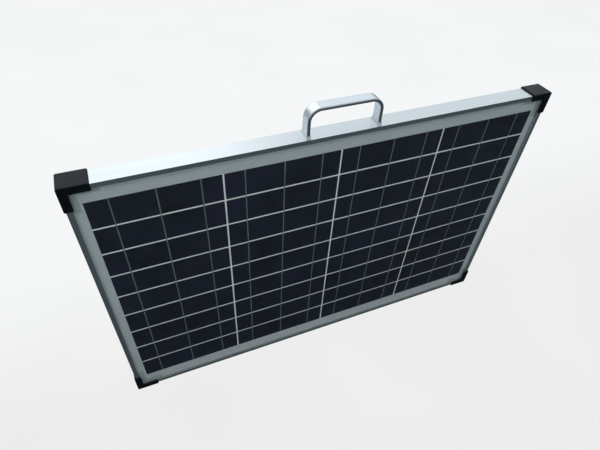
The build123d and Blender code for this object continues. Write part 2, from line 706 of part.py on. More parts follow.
def controller_terminals():
    depths = (BOARD[0] - TERMINAL_BLOCK_T, BOARD[0])
    z = UNIT_CENTRE_Z - TERMINAL_BLOCK_DROP
    places = [side * x for side in (-1, 1) for x in TERMINAL_BLOCK_X]
    return one(*[rounded_block(*TERMINAL_BLOCK, depths, z, 0.5, x) for x in places])


def controller_screws():
    screws = []
    seat = UNIT_DEPTHS[2] - UNIT_SINK
    for x, z in unit_screw_places():
        shank = rod_y(x, (UNIT_DEPTHS[1] - 6.0, seat), UNIT_SCREW_R, z)
        head = rod_y(x, (seat, seat + 1.4), UNIT_HEAD_R, z)
        screws.append(shank + head - cross_slot(x, z, (seat + 0.7, seat + 3), 3.4, 1.0))
    return one(*screws)


def controller_button(x):
    """A button held under the cover by its flange, with room to travel down to its switch."""
    top = UNIT_DEPTHS[2] + 1.2
    under_cover = UNIT_DEPTHS[2] - UNIT_WALL - 0.3
    cap = rod_y(x, (under_cover, top), BUTTON_R, BUTTON_Z)
    cap = fillet(cap.edges().filter_by(GeomType.CIRCLE).sort_by(Axis.Y)[-1], 0.7)
    flange = rod_y(x, (under_cover - BUTTON_TRAVEL, under_cover), BUTTON_R + 1.3, BUTTON_Z)
    return cap + flange


# ---- lead between the two housings ----
LEAD_TOP = BOX_CENTRE_Z - BOX_SIZE[1] / 2 + 2.0
LEAD_BOTTOM = UNIT_CENTRE_Z + UNIT_SIZE[1] / 2 - 2.0
CLIP_BASE = (20.0, 12.0)
CLIP_BASE_T = 1.6
CLIP_POST = (9.0, 8.0)
CLIP_WALL = 1.5


def panel_lead():
    return rod_z(0, LEAD_DEPTH, LEAD_R, (LEAD_BOTTOM, LEAD_TOP))


def lead_clip():
    """A saddle stuck to the back sheet that holds the lead."""
    z = (LEAD_TOP + LEAD_BOTTOM) / 2
    top = BACKSHEET_BACK + CLIP_BASE_T
    base = plate(*CLIP_BASE, (BACKSHEET_BACK, top), z)
    base = fillet(edges_along(base, Axis.Y), 2.0)
    post = plate(*CLIP_POST, (top, LEAD_DEPTH), z)
    half = CLIP_POST[1] / 2
    loop = rod_z(0, LEAD_DEPTH, LEAD_R + CLIP_WALL, (z - half, z + half))
    return base + post + loop - rod_z(0, LEAD_DEPTH, LEAD_R + RUNNING, (z - half - 1, z + half + 1))


# ---- stand ----
LEG_OUT = LEG_X + LEG_W / 2
LEG_IN = LEG_X - LEG_W / 2
EAR = (LEG_OUT + 0.6, LEG_OUT + 2.6)
EAR_HALF_H = 20.0
EAR_REACH = 8.0            # ear's front edge, in front of the pivot
KNOB_R = 8.0
KNOB_LOBES = 8
FLUTE_R = 2.0
HUB_R = 6.0
BOLT_HEAD_R = 6.0
BOLT_HEAD_T = 2.2
WASHER_R = 6.5
CROSS_HEAD_R = 4.0
CROSS_HEAD_T = 1.9
CROSS_SCREW_L = 26.0       # from the leg's outer face into the cross bar
LEG_ROUND = 1.2
FOOT_WALL = 1.6
CLIP_SHEET = 1.2
KNOB = (LEG_IN - 11.0, LEG_IN - 0.6)


def stand_bracket():
    """Right-hand bracket: a foot riveted inside the side rail's back flange, and an ear for the pivot."""
    inside = FRAME_T - WALL
    span = (PIVOT_Z - EAR_HALF_H, PIVOT_Z + EAR_HALF_H)
    foot = slab((EAR[0], HALF_L - BOX_U - 0.4), (inside - 1.5, inside), span)
    ear = slab(EAR, (LEG_DEPTH - EAR_REACH, inside), span)
    ear = chamfer(edges_along(ear, Axis.X).sort_by(Axis.Y)[:2], 5.0)
    bracket = foot + ear
    bracket = drill_y(bracket, rivet_places(), RIVET_R + RUNNING)
    return bracket - rod_x((EAR[0] - 1, EAR[1] + 1), PIVOT_R + RUNNING, LEG_DEPTH, PIVOT_Z)


def pivot_bolt():
    """Right-hand pivot bolt, with a low round head outside the ear."""
    head = rod_x((EAR[1], EAR[1] + BOLT_HEAD_T), BOLT_HEAD_R, LEG_DEPTH, PIVOT_Z)
    head = fillet(head.edges().filter_by(GeomType.CIRCLE).sort_by(Axis.X)[-1], 1.4)
    return head + rod_x((KNOB[0] + 2.5, EAR[1]), PIVOT_R, LEG_DEPTH, PIVOT_Z)


def pivot_washer():
    disc = rod_x((LEG_OUT + 0.1, LEG_OUT + 0.55), WASHER_R, LEG_DEPTH, PIVOT_Z)
    return disc - rod_x((LEG_OUT - 1, LEG_OUT + 2), PIVOT_R + RUNNING, LEG_DEPTH, PIVOT_Z)


def clamp_knob():
    """Right-hand clamp knob: a lobed cap on the inner end of the pivot bolt."""
    knob = rod_x(KNOB, KNOB_R, LEG_DEPTH, PIVOT_Z)
    for lobe in range(KNOB_LOBES):
        spot = Vector(0, KNOB_R + 0.9, 0).rotate(Axis.X, lobe * 360 / KNOB_LOBES)
        flute = Pos(KNOB[0] - 0.5, y_at(LEG_DEPTH) + spot.Y, PIVOT_Z + spot.Z) * Rot(0, 90, 0)
        knob = knob - flute * Cylinder(FLUTE_R, 15.0)
    hub = rod_x((KNOB[1] - 2.0, KNOB[1]), HUB_R, LEG_DEPTH, PIVOT_Z)
    knob = knob + hub
    return knob - rod_x((KNOB[0] + 2.2, KNOB[1] + 1), PIVOT_R + RUNNING, LEG_DEPTH, PIVOT_Z)


def leg_outline(inset):
    """Side outline of a leg: straight sides and a round end about the pivot."""
    half = LEG_D / 2 - inset
    middle = y_at(LEG_DEPTH)
    low = LEG_END_Z - (1.0 if inset else 0.0)
    x = LEG_IN + inset
    sides = Polyline((x, middle - half, PIVOT_Z), (x, middle - half, low), (x, middle + half, low),
                     (x, middle + half, PIVOT_Z))
    end = ThreePointArc((x, middle + half, PIVOT_Z), (x, middle, PIVOT_Z + half), (x, middle - half, PIVOT_Z))
    return make_face(sides + end)


def stand_leg():
    """Right-hand leg: a box tube with a closed round top."""
    outer = extrude(leg_outline(0.0), LEG_W, dir=(1, 0, 0))
    outer = fillet(edges_along(outer, Axis.Z), LEG_ROUND)
    leg = outer - extrude(leg_outline(LEG_WALL), LEG_W - 2 * LEG_WALL, dir=(1, 0, 0))
    leg = leg - rod_x((LEG_IN - 1, LEG_OUT + 1), PIVOT_R + RUNNING, LEG_DEPTH, PIVOT_Z)
    return leg - rod_x((LEG_IN - 1, LEG_OUT + 1), CROSS_SCREW_R + RUNNING, LEG_DEPTH, CROSS_BAR_Z)


def cross_bar():
    bar_solid = rod_x((-LEG_IN, LEG_IN), CROSS_BAR_R, LEG_DEPTH, CROSS_BAR_Z)
    for side in (-1, 1):
        ends = sorted((side * (LEG_IN + 1), side * (LEG_OUT - CROSS_SCREW_L - 2)))
        bar_solid = bar_solid - rod_x(ends, CROSS_SCREW_R + RUNNING, LEG_DEPTH, CROSS_BAR_Z)
    return bar_solid


def cross_bar_screw():
    head = rod_x((LEG_OUT, LEG_OUT + CROSS_HEAD_T), CROSS_HEAD_R, LEG_DEPTH, CROSS_BAR_Z)
    head = fillet(head.edges().filter_by(GeomType.CIRCLE).sort_by(Axis.X)[-1], 1.2)
    return head + rod_x((LEG_OUT - CROSS_SCREW_L, LEG_OUT), CROSS_SCREW_R, LEG_DEPTH, CROSS_BAR_Z)


def leg_foot():
    """Right-hand rubber foot: a cap over the leg's lower end."""
    low = LEG_END_Z - 7.0
    high = LEG_END_Z + 8.0
    front, back = LEG_DEPTH - LEG_D / 2, LEG_DEPTH + LEG_D / 2
    cap = slab((LEG_IN - FOOT_WALL, LEG_OUT + FOOT_WALL), (front - FOOT_WALL, back + FOOT_WALL), (low, high))
    cap = fillet(edges_along(cap, Axis.Z), 2 * LEG_ROUND)
    cap = fillet(cap.faces().sort_by(Axis.Z)[0].edges(), FOOT_WALL)
    pocket = slab((LEG_IN, LEG_OUT), (front, back), (LEG_END_Z, high + 1))
    pocket = fillet(edges_along(pocket, Axis.Z), LEG_ROUND)
    return cap - pocket


def stand_clip():
    """Right-hand spring clip: it hangs from the bottom rail's flange and cradles the cross bar."""
    sheet = CLIP_SHEET
    inside = FRAME_T - WALL
    foot_low = FRAME_BOTTOM + FLANGE_U / 2 + 0.5
    ledge = FRAME_BOTTOM + FLANGE_U + 3.0
    spine = BACKSHEET_BACK + 0.8
    jaw = CROSS_BAR_R + 0.8
    tip = LEG_DEPTH + 3.5
    low_jaw = CROSS_BAR_Z - jaw
    high_jaw = CROSS_BAR_Z + jaw
    outline = [(inside, foot_low), (inside, ledge), (spine + sheet, ledge),
               (spine + sheet, low_jaw - sheet), (tip, low_jaw - sheet), (tip, low_jaw),
               (spine + sheet, low_jaw), (spine + sheet, high_jaw), (tip, high_jaw),
               (tip, high_jaw + sheet), (spine, high_jaw + sheet), (spine, ledge - sheet),
               (inside - sheet, ledge - sheet), (inside - sheet, foot_low)]
    clip = prism_x(outline, (CLIP_X - CLIP_W / 2, CLIP_X + CLIP_W / 2))
    return drill_y(clip, rivet_places(), RIVET_R + RUNNING)


# ---- write one file per sub-part ----
def build():
    parts = {}
    for side in SIDES:
        parts["frame_rail_" + side] = frame_rail(side)
    parts["corner_keys"] = one(*[corner_key(x_side, top) for x_side in (-1, 1) for top in (False, True)])
    parts["edge_seal"] = edge_seal()

    ribbons = tabbing_ribbons()
    strips = insulation_strips()
    buses = bus_ribbons()
    parts["cover_glass"] = cover_glass()
    parts["front_encapsulant"] = plate(LAMINATE_W, LAMINATE_H, (GLASS_BACK, CELL_FRONT)) - ribbons
    filler = plate(LAMINATE_W, LAMINATE_H, (CELL_FRONT, BACKSHEET_FRONT)) - strips - buses
    for column in range(COLUMNS):
        cells = cell_string(column)
        parts["cell_string_" + str(column + 1)] = cells
        filler = filler - cells
    parts["tabbing_ribbons"] = ribbons
    parts["insulation_strips"] = strips
    parts["bus_ribbons"] = buses
    parts["rear_encapsulant"] = filler
    parts["backsheet"] = plate(LAMINATE_W, LAMINATE_H, (BACKSHEET_FRONT, BACKSHEET_BACK))

    for name, top in (("top", True), ("bottom", False)):
        for word, x_side in (("left", -1), ("right", 1)):
            parts["corner_guard_" + name + "_" + word] = corner_guard(x_side, top)
    parts["guard_screws"] = one(*[guard_screw(x, z) for x, z in guard_screw_places()])

    parts["carry_handle"] = carry_handle()
    parts["handle_screws"] = one(*[handle_screw(x) for x in (-HANDLE_HALF, HANDLE_HALF)])
    parts["handle_washers"] = one(*[handle_washer(x) for x in (-HANDLE_HALF, HANDLE_HALF)])

    parts["adhesive_pads"] = adhesive_pads()
    parts["junction_box_base"] = junction_box_base()
    parts["junction_box_gasket"] = junction_gasket()
    parts["junction_box_lid"] = junction_lid()
    parts["junction_box_screws"] = junction_screws()
    parts["junction_terminals"] = junction_terminals()
    parts["bypass_diodes"] = bypass_diodes()
    parts["junction_gland"] = gland(BOX_CENTRE_Z - BOX_SIZE[1] / 2, -1)

    parts["controller_case"] = controller_case()
    parts["controller_cover"] = controller_cover()
    parts["controller_window"] = controller_window()
    parts["controller_display"] = controller_display()
    parts["controller_board"] = controller_board()
    parts["controller_terminals"] = controller_terminals()
    parts["controller_screws"] = controller_screws()
    for name, x in button_places().items():
        parts["controller_button_" + name] = controller_button(x)
    parts["controller_inlet_gland"] = gland(UNIT_CENTRE_Z + UNIT_SIZE[1] / 2, 1)
    parts["controller_outlet_gland"] = gland(UNIT_CENTRE_Z - UNIT_SIZE[1] / 2, -1)
    parts["panel_lead"] = panel_lead()
    parts["lead_clip"] = lead_clip()

    rivets = [rivet(x, z) for x, z in rivet_places()]
    parts["rivets"] = one(*rivets)
    parts["stand_clips"] = both_sides(stand_clip())
    parts["stand_brackets"] = both_sides(stand_bracket())
    parts["pivot_bolts"] = both_sides(pivot_bolt())
    parts["pivot_washers"] = both_sides(pivot_washer())
    for word, x_side in (("left", -1), ("right", 1)):
        for name, maker in (("stand_leg_", stand_leg), ("clamp_knob_", clamp_knob)):
            shape = maker()
            parts[name + word] = shape if x_side > 0 else mirror(shape, about=Plane.YZ)
    parts["cross_bar"] = cross_bar()
    parts["cross_bar_screws"] = both_sides(cross_bar_screw())
    parts["leg_feet"] = both_sides(leg_foot())
    return parts


os.makedirs("parts", exist_ok=True)
for node, shape in build().items():
    export_step(shape, "parts/" + node + ".step")
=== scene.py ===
import math

import bmesh
import bpy
from mathutils import Matrix, Vector


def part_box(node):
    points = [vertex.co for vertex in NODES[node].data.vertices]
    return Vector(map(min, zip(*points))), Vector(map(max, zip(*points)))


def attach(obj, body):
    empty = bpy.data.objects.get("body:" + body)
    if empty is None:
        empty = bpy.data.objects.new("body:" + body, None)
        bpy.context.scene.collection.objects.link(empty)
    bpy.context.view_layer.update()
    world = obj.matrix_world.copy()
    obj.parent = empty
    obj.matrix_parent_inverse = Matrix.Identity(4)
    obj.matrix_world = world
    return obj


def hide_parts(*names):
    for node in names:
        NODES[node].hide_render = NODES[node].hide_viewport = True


# Looks of a framed solar panel with corner guards, bow handle, rear stand, junction box and
# charge controller. Metres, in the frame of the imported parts: +X right, +Y to the back, +Z up.

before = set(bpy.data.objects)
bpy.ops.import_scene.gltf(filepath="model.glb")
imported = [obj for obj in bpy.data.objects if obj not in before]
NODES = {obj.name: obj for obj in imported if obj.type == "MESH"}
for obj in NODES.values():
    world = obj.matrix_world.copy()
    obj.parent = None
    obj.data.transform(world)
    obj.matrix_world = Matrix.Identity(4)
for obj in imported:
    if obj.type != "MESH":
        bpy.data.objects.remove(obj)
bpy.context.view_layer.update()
MM = 0.001


# ---------------------------------------------------------------- node helpers
NOISE_ROUGHNESS = 0.55
NOISE_VALUES = (0.3, 0.7)      # where most of a noise texture's values lie
EDGE_SAMPLES = 4
EDGE_TURN = (0.02, 0.25)       # how far the rounded normal turns away at the rim of an edge and on it


class Nodes:
    """A short way to build one material's node tree."""

    def __init__(self, name):
        self.material = bpy.data.materials.new(name)
        self.material.use_nodes = True
        self.tree = self.material.node_tree
        self.tree.nodes.clear()
        self.output = self.add("ShaderNodeOutputMaterial")

    def add(self, kind, **inputs):
        node = self.tree.nodes.new(kind)
        for name, value in inputs.items():
            self.put(node.inputs[name.replace("_", " ")], value)
        return node

    def put(self, socket, value):
        if isinstance(value, bpy.types.NodeSocket):
            self.tree.links.new(value, socket)
        else:
            socket.default_value = value

    def place(self, scale=(1.0, 1.0, 1.0)):
        """Object coordinates in metres, scaled."""
        coords = self.add("ShaderNodeTexCoord")
        mapping = self.add("ShaderNodeMapping", Vector=coords.outputs["Object"])
        mapping.inputs["Scale"].default_value = scale
        return mapping.outputs["Vector"]

    def noise(self, vector, scale, detail):
        node = self.add("ShaderNodeTexNoise", Vector=vector, Scale=scale, Detail=detail)
        node.inputs["Roughness"].default_value = NOISE_ROUGHNESS
        return node.outputs["Fac"]

    def ramp(self, fac, low, high, to_low=0.0, to_high=1.0):
        """A straight map of low..high to to_low..to_high, held at both ends."""
        node = self.add("ShaderNodeMapRange", Value=fac)
        node.inputs["From Min"].default_value = low
        node.inputs["From Max"].default_value = high
        node.inputs["To Min"].default_value = to_low
        node.inputs["To Max"].default_value = to_high
        return node.outputs["Result"]

    def spread(self, fac, to_low=0.0, to_high=1.0):
        """The usual values of a noise, stretched over a range."""
        return self.ramp(fac, *NOISE_VALUES, to_low, to_high)

    def math(self, operation, a, b=0.0):
        node = self.add("ShaderNodeMath")
        node.operation = operation
        self.put(node.inputs[0], a)
        self.put(node.inputs[1], b)
        return node.outputs["Value"]

    def put_colour(self, socket, value):
        """Plugs in a socket, or sets three numbers with an alpha of 1."""
        self.put(socket, value if isinstance(value, bpy.types.NodeSocket) else (*value, 1.0))

    def blend(self, fac, a, b):
        """Colour a where fac is 0, colour b where it is 1."""
        node = self.add("ShaderNodeMix")
        node.data_type = "RGBA"
        self.put(node.inputs["Factor"], fac)
        self.put_colour(node.inputs["A"], a)
        self.put_colour(node.inputs["B"], b)
        return node.outputs["Result"]

    def bump(self, height, strength, distance):
        node = self.add("ShaderNodeBump", Height=height, Strength=strength, Distance=distance)
        return node.outputs["Normal"]

    def edges(self, radius):
        """1 along convex and concave edges within a radius, 0 on flat faces."""
        rounded = self.add("ShaderNodeBevel", Radius=radius)
        rounded.samples = EDGE_SAMPLES
        flat = self.add("ShaderNodeNewGeometry")
        dot = self.add("ShaderNodeVectorMath")
        dot.operation = "DOT_PRODUCT"
        self.put(dot.inputs[0], rounded.outputs["Normal"])
        self.put(dot.inputs[1], flat.outputs["Normal"])
        turned = self.math("SUBTRACT", 1.0, dot.outputs["Value"])
        return self.ramp(turned, *EDGE_TURN)

    def surface(self, **inputs):
        shader = self.add("ShaderNodeBsdfPrincipled", **inputs)
        self.put(self.output.inputs["Surface"], shader.outputs["BSDF"])
        return shader

    def two_surfaces(self, fac, first, second):
        """The first shader where fac is 0, the second where it is 1."""
        both = self.add("ShaderNodeMixShader", Fac=fac)
        self.put(both.inputs[1], first)
        self.put(both.inputs[2], second)
        self.put(self.output.inputs["Surface"], both.outputs["Shader"])


# ---------------------------------------------------------------- places in the panel
FRAME_LOW, FRAME_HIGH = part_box("frame_rail_left")[0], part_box("frame_rail_right")[1]
HALF = (FRAME_HIGH - FRAME_LOW) / 2
MIDDLE = (FRAME_HIGH + FRAME_LOW) / 2
CELLS_LOW, CELLS_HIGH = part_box("cell_string_1")[0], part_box("cell_string_4")[1]
FIELD = Vector(((CELLS_HIGH.x - CELLS_LOW.x) / 2, (CELLS_HIGH.z - CELLS_LOW.z) / 2))
GUARD_SHADOW_WIDE = 15.0 * MM         # the painted shadow of each corner guard, a darker L inside it
GUARD_SHADOW_LONG = 40.0 * MM


# ---------------------------------------------------------------- materials
LINES_ACROSS = 900.0           # how closely brushed lines lie, per metre
LINES_ALONG = 6.0              # how soon a brushed line fades along its length, per metre
LINE_SHADE = 0.72
LIGHTER_EDGE_RADIUS = 0.8 * MM


def scaled(colour, factor, lift=0.0):
    return [part * factor + lift for part in colour]


def brushed_metal(name, along, colour, rough=(0.24, 0.40), brush=0.35, cloudy=0.93):
    """Metal with fine lines along one axis and a faint cloudy tone and gloss."""
    n = Nodes(name)
    stretch = [LINES_ACROSS] * 3
    stretch["XYZ".index(along)] = LINES_ALONG
    lines = n.noise(n.place(stretch), scale=1.0, detail=3.0)
    cloud = n.noise(n.place(), scale=22.0, detail=5.0)
    tone = n.blend(n.spread(cloud), scaled(colour, cloudy), colour)
    tone = n.blend(n.ramp(lines, 0.35, 0.75, to_high=brush), tone, scaled(colour, LINE_SHADE))
    uneven = n.math("ADD", n.math("MULTIPLY", lines, 0.6), n.math("MULTIPLY", cloud, 0.4))
    roughness = n.ramp(uneven, 0.35, 0.65, *rough)
    normal = n.bump(lines, strength=0.12, distance=0.02 * MM)
    n.surface(Base_Color=tone, Metallic=1.0, Roughness=roughness, Normal=normal)
    return n.material


def moulded_plastic(name, colour, rough=(0.42, 0.58), edge_lift=1.6, gloss=0.5, tint=(1.0, 1.0, 1.0)):
    """Moulded plastic with a spark-eroded grain, cloudy gloss and edges a little lighter."""
    n = Nodes(name)
    fine = n.noise(n.place(), scale=2600.0, detail=2.0)
    cloud = n.noise(n.place(), scale=60.0, detail=6.0)
    edge = n.edges(LIGHTER_EDGE_RADIUS)
    tone = n.blend(n.ramp(cloud, 0.35, 0.7), colour, scaled(colour, 1.25, lift=0.002))
    # lighter along convex and concave edges
    tone = n.blend(n.math("MULTIPLY", edge, 0.5), tone, scaled(colour, edge_lift, lift=0.01))
    roughness = n.spread(cloud, *rough)
    normal = n.bump(fine, strength=0.35, distance=0.04 * MM)
    shader = n.surface(Base_Color=tone, Roughness=roughness, Normal=normal)
    shader.inputs["Specular IOR Level"].default_value = gloss
    shader.inputs["Specular Tint"].default_value = (*tint, 1.0)
    return n.material


def rubber(name, colour):
    """Matt rubber with a fine grain and paler dust here and there."""
    n = Nodes(name)
    fine = n.noise(n.place(), scale=1800.0, detail=3.0)
    dust = n.noise(n.place(), scale=90.0, detail=6.0)
    tone = n.blend(n.ramp(dust, 0.5, 0.8, to_high=0.5), colour, scaled(colour, 1.6, lift=0.02))
    roughness = n.spread(dust, 0.62, 0.8)
    normal = n.bump(fine, strength=0.3, distance=0.05 * MM)
    n.surface(Base_Color=tone, Roughness=roughness, Normal=normal)
    return n.material


FINGER_PITCH = 1.9 * MM
FINGER_SHARE = 0.055           # of the pitch that a printed finger line covers


def silicon(name):
    """Dark blue polycrystalline silicon: flat grains, soft clouds and printed finger lines."""
    dark, blue, violet = (0.0045, 0.0055, 0.011), (0.0085, 0.011, 0.028), (0.016, 0.013, 0.036)
    grain_blue, finger_grey = (0.012, 0.015, 0.034), (0.10, 0.11, 0.12)
    n = Nodes(name)
    place = n.place((1.0, 0.0, 1.0))
    grains = n.add("ShaderNodeTexVoronoi", Vector=place, Scale=150.0)
    big_grains = n.add("ShaderNodeTexVoronoi", Vector=place, Scale=55.0)
    clouds = n.noise(place, scale=11.0, detail=5.0)
    patches = n.noise(place, scale=5.0, detail=3.0)
    tone = n.blend(n.ramp(clouds, 0.4, 0.72), dark, blue)
    tone = n.blend(n.ramp(patches, 0.52, 0.75, to_high=0.8), tone, violet)
    grain_tone = n.add("ShaderNodeSeparateColor", Color=grains.outputs["Color"]).outputs["Red"]
    big_tone = n.add("ShaderNodeSeparateColor", Color=big_grains.outputs["Color"]).outputs["Green"]
    speckle = n.math("ADD", n.math("MULTIPLY", grain_tone, 0.5), n.math("MULTIPLY", big_tone, 0.5))
    tone = n.blend(n.ramp(speckle, 0.2, 0.8, to_high=0.45), tone, grain_blue)
    height = n.add("ShaderNodeSeparateXYZ", Vector=n.place()).outputs["Z"]
    wave = n.math("FRACT", n.math("DIVIDE", height, FINGER_PITCH))
    finger = n.math("LESS_THAN", wave, FINGER_SHARE)
    tone = n.blend(n.math("MULTIPLY", finger, 0.35), tone, finger_grey)
    n.surface(Base_Color=tone, Roughness=n.ramp(grain_tone, 0.0, 1.0, 0.30, 0.46))
    return n.material


def tinned(name):
    """Tinned copper ribbon, dull in streaks along its length."""
    dull_tin, bright_tin = (0.16, 0.21, 0.185), (0.27, 0.34, 0.30)
    n = Nodes(name)
    streaks = n.noise(n.place((900.0, 900.0, 60.0)), scale=1.0, detail=3.0)
    tone = n.blend(n.spread(streaks), dull_tin, bright_tin)
    roughness = n.spread(streaks, 0.42, 0.6)
    normal = n.bump(streaks, strength=0.4, distance=0.03 * MM)
    n.surface(Base_Color=tone, Metallic=0.6, Roughness=roughness, Normal=normal)
    return n.material


def film(name, gap_colour, shaded_margin_colour):
    """Satin white film: bright between the cells, greyer in the margin as painted shade, darker in an L
    at each corner as a painted shadow of the corner guard.
    """
    wave_grey, speck_grey, guard_shadow_grey = (0.2, 0.2, 0.2), (0.35, 0.38, 0.38), (0.10, 0.14, 0.135)
    n = Nodes(name)
    waves = n.noise(n.place(), scale=34.0, detail=3.0)
    specks = n.noise(n.place(), scale=700.0, detail=2.0)
    across, up = middle_distances(n)
    in_field = n.math("MULTIPLY", n.math("LESS_THAN", across, FIELD.x), n.math("LESS_THAN", up, FIELD.y))
    # the margin outside the cells gets the greyer colour: painted shade on a film that is white all over
    tone = n.blend(in_field, shaded_margin_colour, gap_colour)
    tone = n.blend(n.spread(waves, to_high=0.06), tone, wave_grey)
    tone = n.blend(n.ramp(specks, 0.62, 0.75, to_high=0.2), tone, speck_grey)
    # painted shadow of each corner guard: the film is greyed in an L beside it
    tone = n.blend(n.math("MULTIPLY", guard_shadow_mask(n, across, up), 0.34), tone, guard_shadow_grey)
    height = n.math("ADD", waves, n.math("MULTIPLY", specks, 0.15))
    roughness = n.spread(waves, 0.36, 0.5)
    normal = n.bump(height, strength=0.35, distance=0.4 * MM)
    n.surface(Base_Color=tone, Roughness=roughness, Normal=normal)
    return n.material


def middle_distances(n):
    """How far a point is from the panel's middle, sideways and up or down."""
    split = n.add("ShaderNodeSeparateXYZ", Vector=n.place())
    across = n.math("ABSOLUTE", split.outputs["X"])
    up = n.math("ABSOLUTE", n.math("SUBTRACT", split.outputs["Z"], MIDDLE.z))
    return across, up


def guard_shadow_mask(n, across, up):
    """1 in an L a little wider and longer than a corner guard's, where the guard's shadow is painted, 0
    elsewhere.
    """
    arm = n.math("MULTIPLY", n.math("GREATER_THAN", across, HALF.x - GUARD_SHADOW_WIDE),
                 n.math("GREATER_THAN", up, HALF.z - GUARD_SHADOW_LONG))
    other = n.math("MULTIPLY", n.math("GREATER_THAN", up, HALF.z - GUARD_SHADOW_WIDE),
                   n.math("GREATER_THAN", across, HALF.x - GUARD_SHADOW_LONG))
    return n.math("MAXIMUM", arm, other)


def panel_glass(name):
    """Low-iron glass with a fine rolled texture and a weak reflection, clear to lamps."""
    n = Nodes(name)
    texture = n.noise(n.place(), scale=900.0, detail=2.0)
    ripple = n.noise(n.place(), scale=16.0, detail=2.0)
    height = n.math("ADD", n.math("MULTIPLY", texture, 0.25), ripple)
    roughness = n.spread(texture, 0.03, 0.06)
    normal = n.bump(height, strength=0.25, distance=0.2 * MM)
    shader = n.add("ShaderNodeBsdfPrincipled", Base_Color=(0.96, 0.99, 0.985, 1.0), Roughness=roughness,
                   Normal=normal)
    shader.inputs["IOR"].default_value = 1.3
    shader.inputs["Transmission Weight"].default_value = 1.0
    clear = n.add("ShaderNodeBsdfTransparent", Color=(0.92, 0.96, 0.95, 1.0))
    ray = n.add("ShaderNodeLightPath")
    n.two_surfaces(ray.outputs["Is Shadow Ray"], shader.outputs["BSDF"], clear.outputs["BSDF"])
    return n.material


def circuit(name):
    """Green solder mask with a lighter network of tracks under it."""
    n = Nodes(name)
    traces = n.add("ShaderNodeTexVoronoi", Vector=n.place(), Scale=240.0)
    traces.distance = "MANHATTAN"
    edge = n.ramp(traces.outputs["Distance"], 0.30, 0.36)
    tone = n.blend(edge, (0.02, 0.13, 0.05), (0.05, 0.24, 0.10))
    n.surface(Base_Color=tone, Roughness=0.35)
    return n.material


def display(name):
    """A grey-green liquid crystal display that is switched off."""
    n = Nodes(name)
    grid = n.noise(n.place(), scale=1400.0, detail=1.0)
    tone = n.blend(grid, (0.20, 0.25, 0.19), (0.26, 0.31, 0.24))
    n.surface(Base_Color=tone, Roughness=0.25)
    return n.material


def clear_window(name):
    """Clear moulded plastic with a slight haze."""
    n = Nodes(name)
    haze = n.noise(n.place(), scale=300.0, detail=4.0)
    shader = n.surface(Base_Color=(0.80, 0.86, 0.84, 1.0), Roughness=n.spread(haze, 0.03, 0.10))
    shader.inputs["Transmission Weight"].default_value = 1.0
    shader.inputs["IOR"].default_value = 1.45
    return n.material


RAIL = {"colour": (0.62, 0.66, 0.68), "rough": (0.30, 0.36), "brush": 0.12, "cloudy": 0.98}
STAND = {"colour": (0.62, 0.64, 0.66), "rough": (0.30, 0.38), "brush": 0.15}
MATERIALS = {
    "frame_x": brushed_metal("anodised_rail_x", "X", **RAIL),
    "frame_z": brushed_metal("anodised_rail_z", "Z", **RAIL),
    "key": brushed_metal("key_aluminium", "X", (0.6, 0.61, 0.62)),
    "handle": brushed_metal("handle_aluminium", "X", (0.66, 0.71, 0.75), rough=(0.20, 0.28), brush=0.10),
    "stand_z": brushed_metal("stand_aluminium_z", "Z", **STAND),
    "stand_x": brushed_metal("stand_aluminium_x", "X", **STAND),
    "zinc": brushed_metal("zinc_steel", "Y", (0.55, 0.55, 0.53), rough=(0.25, 0.45)),
    "bracket": brushed_metal("bracket_steel", "Z", (0.48, 0.49, 0.50), rough=(0.3, 0.5)),
    "brass": brushed_metal("terminal_brass", "Z", (0.62, 0.45, 0.20)),
    "ribbon": tinned("tinned_ribbon"),
    "guard": moulded_plastic("guard_plastic", (0.0010, 0.0022, 0.0042), rough=(0.30, 0.42), gloss=0.14,
                             tint=(0.80, 0.96, 1.0)),
    "box": moulded_plastic("box_plastic", (0.012, 0.012, 0.013)),
    "case": moulded_plastic("controller_plastic", (0.015, 0.015, 0.017)),
    "cover": moulded_plastic("cover_plastic", (0.035, 0.050, 0.075), edge_lift=1.3),
    "knob": moulded_plastic("knob_plastic", (0.012, 0.012, 0.013)),
    "terminal": moulded_plastic("terminal_plastic", (0.02, 0.16, 0.06)),
    "nylon": moulded_plastic("nylon", (0.65, 0.64, 0.58), edge_lift=1.0),
    "diode": moulded_plastic("diode_plastic", (0.015, 0.015, 0.015)),
    "seal": rubber("edge_sealant", (0.05, 0.05, 0.052)),
    "foam": rubber("adhesive_foam", (0.02, 0.02, 0.02)),
    "gasket": rubber("gasket_rubber", (0.015, 0.015, 0.015)),
    "jacket": rubber("cable_jacket", (0.012, 0.012, 0.012)),
    "foot": rubber("foot_rubber", (0.014, 0.014, 0.014)),
    "button": rubber("button_rubber", (0.24, 0.26, 0.27)),
    "print": moulded_plastic("pale_print", (0.55, 0.57, 0.58), edge_lift=1.0),
    "silicon": silicon("silicon_cells"),
    # the second colour greys the margin as painted shade
    "white": film("white_film", (0.96, 0.98, 0.98), (0.53, 0.575, 0.60)),
    "glass": panel_glass("panel_glass"),
    "window": clear_window("window_clear"),
    "display": display("display_panel"),
    "circuit": circuit("circuit_board"),
}

